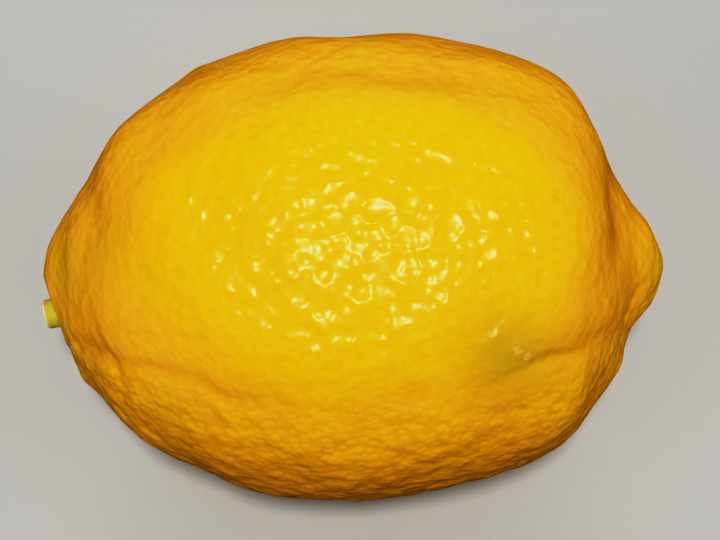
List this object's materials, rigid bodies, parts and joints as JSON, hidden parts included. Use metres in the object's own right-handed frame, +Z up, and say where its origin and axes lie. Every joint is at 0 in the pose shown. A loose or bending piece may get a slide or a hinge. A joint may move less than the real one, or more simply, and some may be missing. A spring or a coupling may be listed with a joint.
{
  "type": "lemon",
  "caption": "Whole fresh lemon lying on its side: pebbled waxy yellow rind, blunt nipple end, and a cut green stem button at the stalk end.",
  "frame": {"origin": "middle of the flat spot on the belly that the fruit rests on, on the ground", "axes": "+X along the fruit from the stem to the nipple, +Z up, -Y the side that the view shows"},
  "size_m": [0.0844, 0.0632, 0.0627],
  "materials": {
    "rind": "waxy, pebbled with oil glands",
    "stem": "matte, green bark with a pale cut end"
  },
  "bodies": {
    "root": {"fruit": "rind", "stem_button": "stem"}
  },
  "joints": []
}
